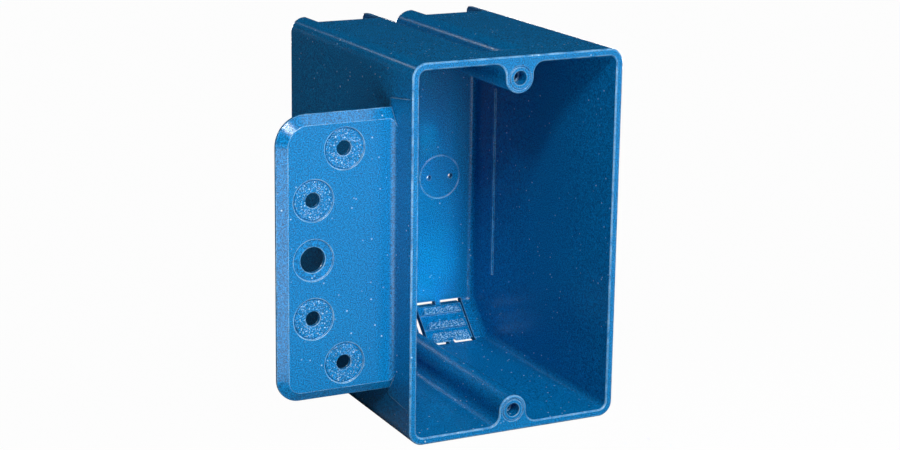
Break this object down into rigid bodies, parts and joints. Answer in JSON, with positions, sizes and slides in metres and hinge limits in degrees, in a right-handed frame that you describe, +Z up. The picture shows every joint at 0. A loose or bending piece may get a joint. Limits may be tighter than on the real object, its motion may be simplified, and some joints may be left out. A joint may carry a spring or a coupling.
{
  "type": "electrical outlet box",
  "caption": "Open-front moulded plastic wall box for a switch or outlet, with a bevelled nailing bracket on one side and toothed cable clamp flaps in its back corners.",
  "frame": {"origin": "centre of the front opening, in the plane of the rim, midway between the two device screw holes", "axes": "+Z up, +Y from the front rim to the back, +X to the right seen from the front; the bracket is on the -X side"},
  "size_m": [0.0868, 0.075, 0.0942],
  "materials": {
    "blue_pvc": "satin, fine grain"
  },
  "bodies": {
    "root": {"wall_box": "blue_pvc"}
  },
  "joints": []
}
